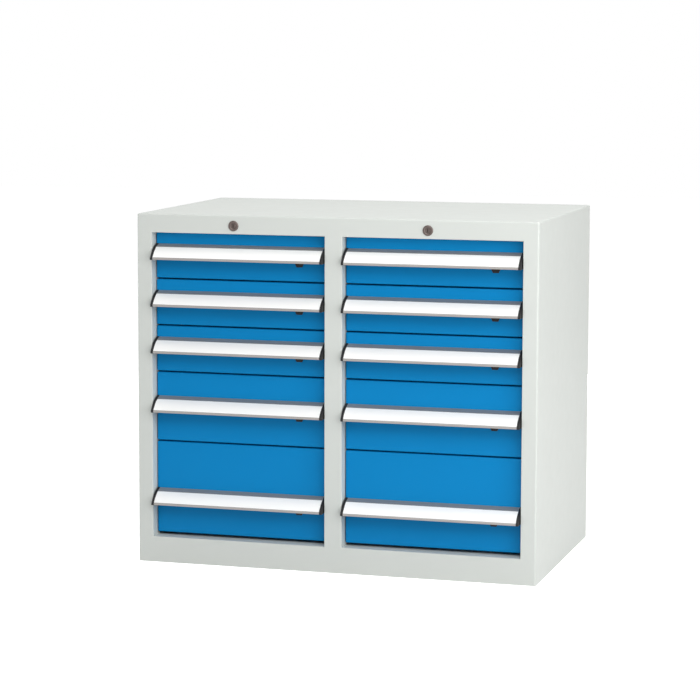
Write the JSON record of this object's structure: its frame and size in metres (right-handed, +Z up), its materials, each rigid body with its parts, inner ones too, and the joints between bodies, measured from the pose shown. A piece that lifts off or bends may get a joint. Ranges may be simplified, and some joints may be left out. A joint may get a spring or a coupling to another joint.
{
  "type": "tool cabinet",
  "caption": "Free-standing steel tool cabinet with two columns of full-extension drawers, strip handles with safety catches, and a key lock that bars each column.",
  "frame": {"origin": "on the floor, under the middle of the whole object's box", "axes": "+Z up, the drawer fronts face -Y, +X to the right seen from the front"},
  "size_m": [0.87, 0.5656, 0.75],
  "materials": {
    "casing_paint": "light grey powder coat, semi-matt",
    "drawer_paint": "bright blue powder coat, semi-gloss",
    "aluminium": "satin anodised extrusion",
    "label_card": "white label strip under a clear cover",
    "black_plastic": "moulded, fine texture",
    "zinc_steel": "bright zinc plate",
    "lock_metal": "dull nickel"
  },
  "bodies": {
    "cabinet": {"casing_shell": "casing_paint", "front_frame": "casing_paint", "floor_pan": "casing_paint", "centre_partition": "casing_paint", "fixed_rails": "zinc_steel", "lock_barrels": "lock_metal"},
    "drawer_left_1": {"drawer_left_1": "drawer_paint", "handle_left_1": "aluminium", "handle_caps_left_1": "black_plastic"},
    "slide_left_1": {"slide_middle_left_1": "zinc_steel"},
    "catch_left_1": {"catch_left_1": "black_plastic"},
    "drawer_left_2": {"drawer_left_2": "drawer_paint", "handle_left_2": "aluminium", "handle_caps_left_2": "black_plastic"},
    "slide_left_2": {"slide_middle_left_2": "zinc_steel"},
    "catch_left_2": {"catch_left_2": "black_plastic"},
    "drawer_left_3": {"drawer_left_3": "drawer_paint", "handle_left_3": "aluminium", "handle_caps_left_3": "black_plastic"},
    "slide_left_3": {"slide_middle_left_3": "zinc_steel"},
    "catch_left_3": {"catch_left_3": "black_plastic"},
    "drawer_left_4": {"drawer_left_4": "drawer_paint", "handle_left_4": "aluminium", "handle_caps_left_4": "black_plastic"},
    "slide_left_4": {"slide_middle_left_4": "zinc_steel"},
    "catch_left_4": {"catch_left_4": "black_plastic"},
    "drawer_left_5": {"drawer_left_5": "drawer_paint", "handle_left_5": "aluminium", "handle_caps_left_5": "black_plastic"},
    "slide_left_5": {"slide_middle_left_5": "zinc_steel"},
    "catch_left_5": {"catch_left_5": "black_plastic"},
    "drawer_right_1": {"drawer_right_1": "drawer_paint", "handle_right_1": "aluminium", "handle_caps_right_1": "black_plastic"},
    "slide_right_1": {"slide_middle_right_1": "zinc_steel"},
    "catch_right_1": {"catch_right_1": "black_plastic"},
    "drawer_right_2": {"drawer_right_2": "drawer_paint", "handle_right_2": "aluminium", "handle_caps_right_2": "black_plastic"},
    "slide_right_2": {"slide_middle_right_2": "zinc_steel"},
    "catch_right_2": {"catch_right_2": "black_plastic"},
    "drawer_right_3": {"drawer_right_3": "drawer_paint", "handle_right_3": "aluminium", "handle_caps_right_3": "black_plastic"},
    "slide_right_3": {"slide_middle_right_3": "zinc_steel"},
    "catch_right_3": {"catch_right_3": "black_plastic"},
    "drawer_right_4": {"drawer_right_4": "drawer_paint", "handle_right_4": "aluminium", "handle_caps_right_4": "black_plastic"},
    "slide_right_4": {"slide_middle_right_4": "zinc_steel"},
    "catch_right_4": {"catch_right_4": "black_plastic"},
    "drawer_right_5": {"drawer_right_5": "drawer_paint", "handle_right_5": "aluminium", "handle_caps_right_5": "black_plastic"},
    "slide_right_5": {"slide_middle_right_5": "zinc_steel"},
    "catch_right_5": {"catch_right_5": "black_plastic"},
    "lock_plug_left": {"lock_plug_left": "lock_metal"},
    "lock_bar_left": {"lock_bar_left": "zinc_steel"},
    "lock_plug_right": {"lock_plug_right": "lock_metal"},
    "lock_bar_right": {"lock_bar_right": "zinc_steel"}
  },
  "joints": [
    {"name": "drawer_left_1_slide", "type": "slide", "parent": "cabinet", "child": "drawer_left_1", "axis": [0, -1, 0], "range_m": [0, 0.45]},
    {"name": "slide_left_1_run", "type": "slide", "parent": "cabinet", "child": "slide_left_1", "axis": [0, -1, 0], "range_m": [0, 0.225]},
    {"name": "catch_left_1_slide", "type": "slide", "parent": "drawer_left_1", "child": "catch_left_1", "axis": [1, 0, 0], "range_m": [0, 0.007]},
    {"name": "drawer_left_2_slide", "type": "slide", "parent": "cabinet", "child": "drawer_left_2", "axis": [0, -1, 0], "range_m": [0, 0.45]},
    {"name": "slide_left_2_run", "type": "slide", "parent": "cabinet", "child": "slide_left_2", "axis": [0, -1, 0], "range_m": [0, 0.225]},
    {"name": "catch_left_2_slide", "type": "slide", "parent": "drawer_left_2", "child": "catch_left_2", "axis": [1, 0, 0], "range_m": [0, 0.007]},
    {"name": "drawer_left_3_slide", "type": "slide", "parent": "cabinet", "child": "drawer_left_3", "axis": [0, -1, 0], "range_m": [0, 0.45]},
    {"name": "slide_left_3_run", "type": "slide", "parent": "cabinet", "child": "slide_left_3", "axis": [0, -1, 0], "range_m": [0, 0.225]},
    {"name": "catch_left_3_slide", "type": "slide", "parent": "drawer_left_3", "child": "catch_left_3", "axis": [1, 0, 0], "range_m": [0, 0.007]},
    {"name": "drawer_left_4_slide", "type": "slide", "parent": "cabinet", "child": "drawer_left_4", "axis": [0, -1, 0], "range_m": [0, 0.45]},
    {"name": "slide_left_4_run", "type": "slide", "parent": "cabinet", "child": "slide_left_4", "axis": [0, -1, 0], "range_m": [0, 0.225]},
    {"name": "catch_left_4_slide", "type": "slide", "parent": "drawer_left_4", "child": "catch_left_4", "axis": [1, 0, 0], "range_m": [0, 0.007]},
    {"name": "drawer_left_5_slide", "type": "slide", "parent": "cabinet", "child": "drawer_left_5", "axis": [0, -1, 0], "range_m": [0, 0.45]},
    {"name": "slide_left_5_run", "type": "slide", "parent": "cabinet", "child": "slide_left_5", "axis": [0, -1, 0], "range_m": [0, 0.225]},
    {"name": "catch_left_5_slide", "type": "slide", "parent": "drawer_left_5", "child": "catch_left_5", "axis": [1, 0, 0], "range_m": [0, 0.007]},
    {"name": "drawer_right_1_slide", "type": "slide", "parent": "cabinet", "child": "drawer_right_1", "axis": [0, -1, 0], "range_m": [0, 0.45]},
    {"name": "slide_right_1_run", "type": "slide", "parent": "cabinet", "child": "slide_right_1", "axis": [0, -1, 0], "range_m": [0, 0.225]},
    {"name": "catch_right_1_slide", "type": "slide", "parent": "drawer_right_1", "child": "catch_right_1", "axis": [1, 0, 0], "range_m": [0, 0.007]},
    {"name": "drawer_right_2_slide", "type": "slide", "parent": "cabinet", "child": "drawer_right_2", "axis": [0, -1, 0], "range_m": [0, 0.45]},
    {"name": "slide_right_2_run", "type": "slide", "parent": "cabinet", "child": "slide_right_2", "axis": [0, -1, 0], "range_m": [0, 0.225]},
    {"name": "catch_right_2_slide", "type": "slide", "parent": "drawer_right_2", "child": "catch_right_2", "axis": [1, 0, 0], "range_m": [0, 0.007]},
    {"name": "drawer_right_3_slide", "type": "slide", "parent": "cabinet", "child": "drawer_right_3", "axis": [0, -1, 0], "range_m": [0, 0.45]},
    {"name": "slide_right_3_run", "type": "slide", "parent": "cabinet", "child": "slide_right_3", "axis": [0, -1, 0], "range_m": [0, 0.225]},
    {"name": "catch_right_3_slide", "type": "slide", "parent": "drawer_right_3", "child": "catch_right_3", "axis": [1, 0, 0], "range_m": [0, 0.007]},
    {"name": "drawer_right_4_slide", "type": "slide", "parent": "cabinet", "child": "drawer_right_4", "axis": [0, -1, 0], "range_m": [0, 0.45]},
    {"name": "slide_right_4_run", "type": "slide", "parent": "cabinet", "child": "slide_right_4", "axis": [0, -1, 0], "range_m": [0, 0.225]},
    {"name": "catch_right_4_slide", "type": "slide", "parent": "drawer_right_4", "child": "catch_right_4", "axis": [1, 0, 0], "range_m": [0, 0.007]},
    {"name": "drawer_right_5_slide", "type": "slide", "parent": "cabinet", "child": "drawer_right_5", "axis": [0, -1, 0], "range_m": [0, 0.45]},
    {"name": "slide_right_5_run", "type": "slide", "parent": "cabinet", "child": "slide_right_5", "axis": [0, -1, 0], "range_m": [0, 0.225]},
    {"name": "catch_right_5_slide", "type": "slide", "parent": "drawer_right_5", "child": "catch_right_5", "axis": [1, 0, 0], "range_m": [0, 0.007]},
    {"name": "lock_left_turn", "type": "hinge", "parent": "cabinet", "child": "lock_plug_left", "pos_m": [-0.2185, -0.2672, 0.7275], "axis": [0, 1, 0], "range_deg": [0, 90]},
    {"name": "lock_bar_left_lift", "type": "slide", "parent": "cabinet", "child": "lock_bar_left", "axis": [0, 0, 1], "range_m": [0, 0.01]},
    {"name": "lock_right_turn", "type": "hinge", "parent": "cabinet", "child": "lock_plug_right", "pos_m": [0.2025, -0.2672, 0.7275], "axis": [0, 1, 0], "range_deg": [0, 90]},
    {"name": "lock_bar_right_lift", "type": "slide", "parent": "cabinet", "child": "lock_bar_right", "axis": [0, 0, 1], "range_m": [0, 0.01]}
  ],
  "couplings": [
    {"joint": "slide_left_1_run", "follows": "drawer_left_1_slide", "ratio": 0.5},
    {"joint": "slide_left_2_run", "follows": "drawer_left_2_slide", "ratio": 0.5},
    {"joint": "slide_left_3_run", "follows": "drawer_left_3_slide", "ratio": 0.5},
    {"joint": "slide_left_4_run", "follows": "drawer_left_4_slide", "ratio": 0.5},
    {"joint": "slide_left_5_run", "follows": "drawer_left_5_slide", "ratio": 0.5},
    {"joint": "slide_right_1_run", "follows": "drawer_right_1_slide", "ratio": 0.5},
    {"joint": "slide_right_2_run", "follows": "drawer_right_2_slide", "ratio": 0.5},
    {"joint": "slide_right_3_run", "follows": "drawer_right_3_slide", "ratio": 0.5},
    {"joint": "slide_right_4_run", "follows": "drawer_right_4_slide", "ratio": 0.5},
    {"joint": "slide_right_5_run", "follows": "drawer_right_5_slide", "ratio": 0.5},
    {"joint": "lock_left_turn", "follows": "lock_bar_left_lift", "rad_per_m": 157.08},
    {"joint": "lock_right_turn", "follows": "lock_bar_right_lift", "rad_per_m": 157.08}
  ]
}
